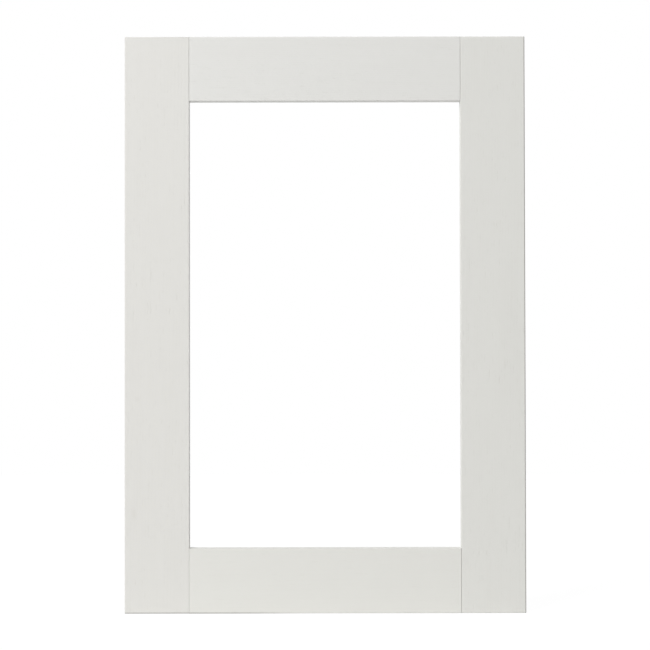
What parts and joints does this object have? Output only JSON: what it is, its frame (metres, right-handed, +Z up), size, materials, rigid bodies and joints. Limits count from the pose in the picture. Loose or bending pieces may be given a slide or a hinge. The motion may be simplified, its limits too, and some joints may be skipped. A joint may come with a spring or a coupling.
{
  "type": "kitchen cabinet door",
  "caption": "Open wooden frame door for a kitchen cabinet, with stiles and rails dowelled at the corners, a rear rebate for a pane and bored for cup hinges.",
  "frame": {"origin": "middle of the bottom edge, at half the door's thickness", "axes": "+Z up along the stiles, +X to the right as seen from the front, +Y out of the back of the door"},
  "size_m": [0.497, 0.02, 0.715],
  "materials": {
    "painted_wood": "off-white satin paint over fine open wood grain that runs along each board",
    "bare_beech": "unfinished fluted beech dowel"
  },
  "bodies": {
    "root": {"left_stile": "painted_wood", "right_stile": "painted_wood", "bottom_rail": "painted_wood", "top_rail": "painted_wood", "dowel_bottom_left_lower": "bare_beech", "dowel_bottom_left_upper": "bare_beech", "dowel_bottom_right_lower": "bare_beech", "dowel_bottom_right_upper": "bare_beech", "dowel_top_left_lower": "bare_beech", "dowel_top_left_upper": "bare_beech", "dowel_top_right_lower": "bare_beech", "dowel_top_right_upper": "bare_beech"}
  },
  "joints": []
}
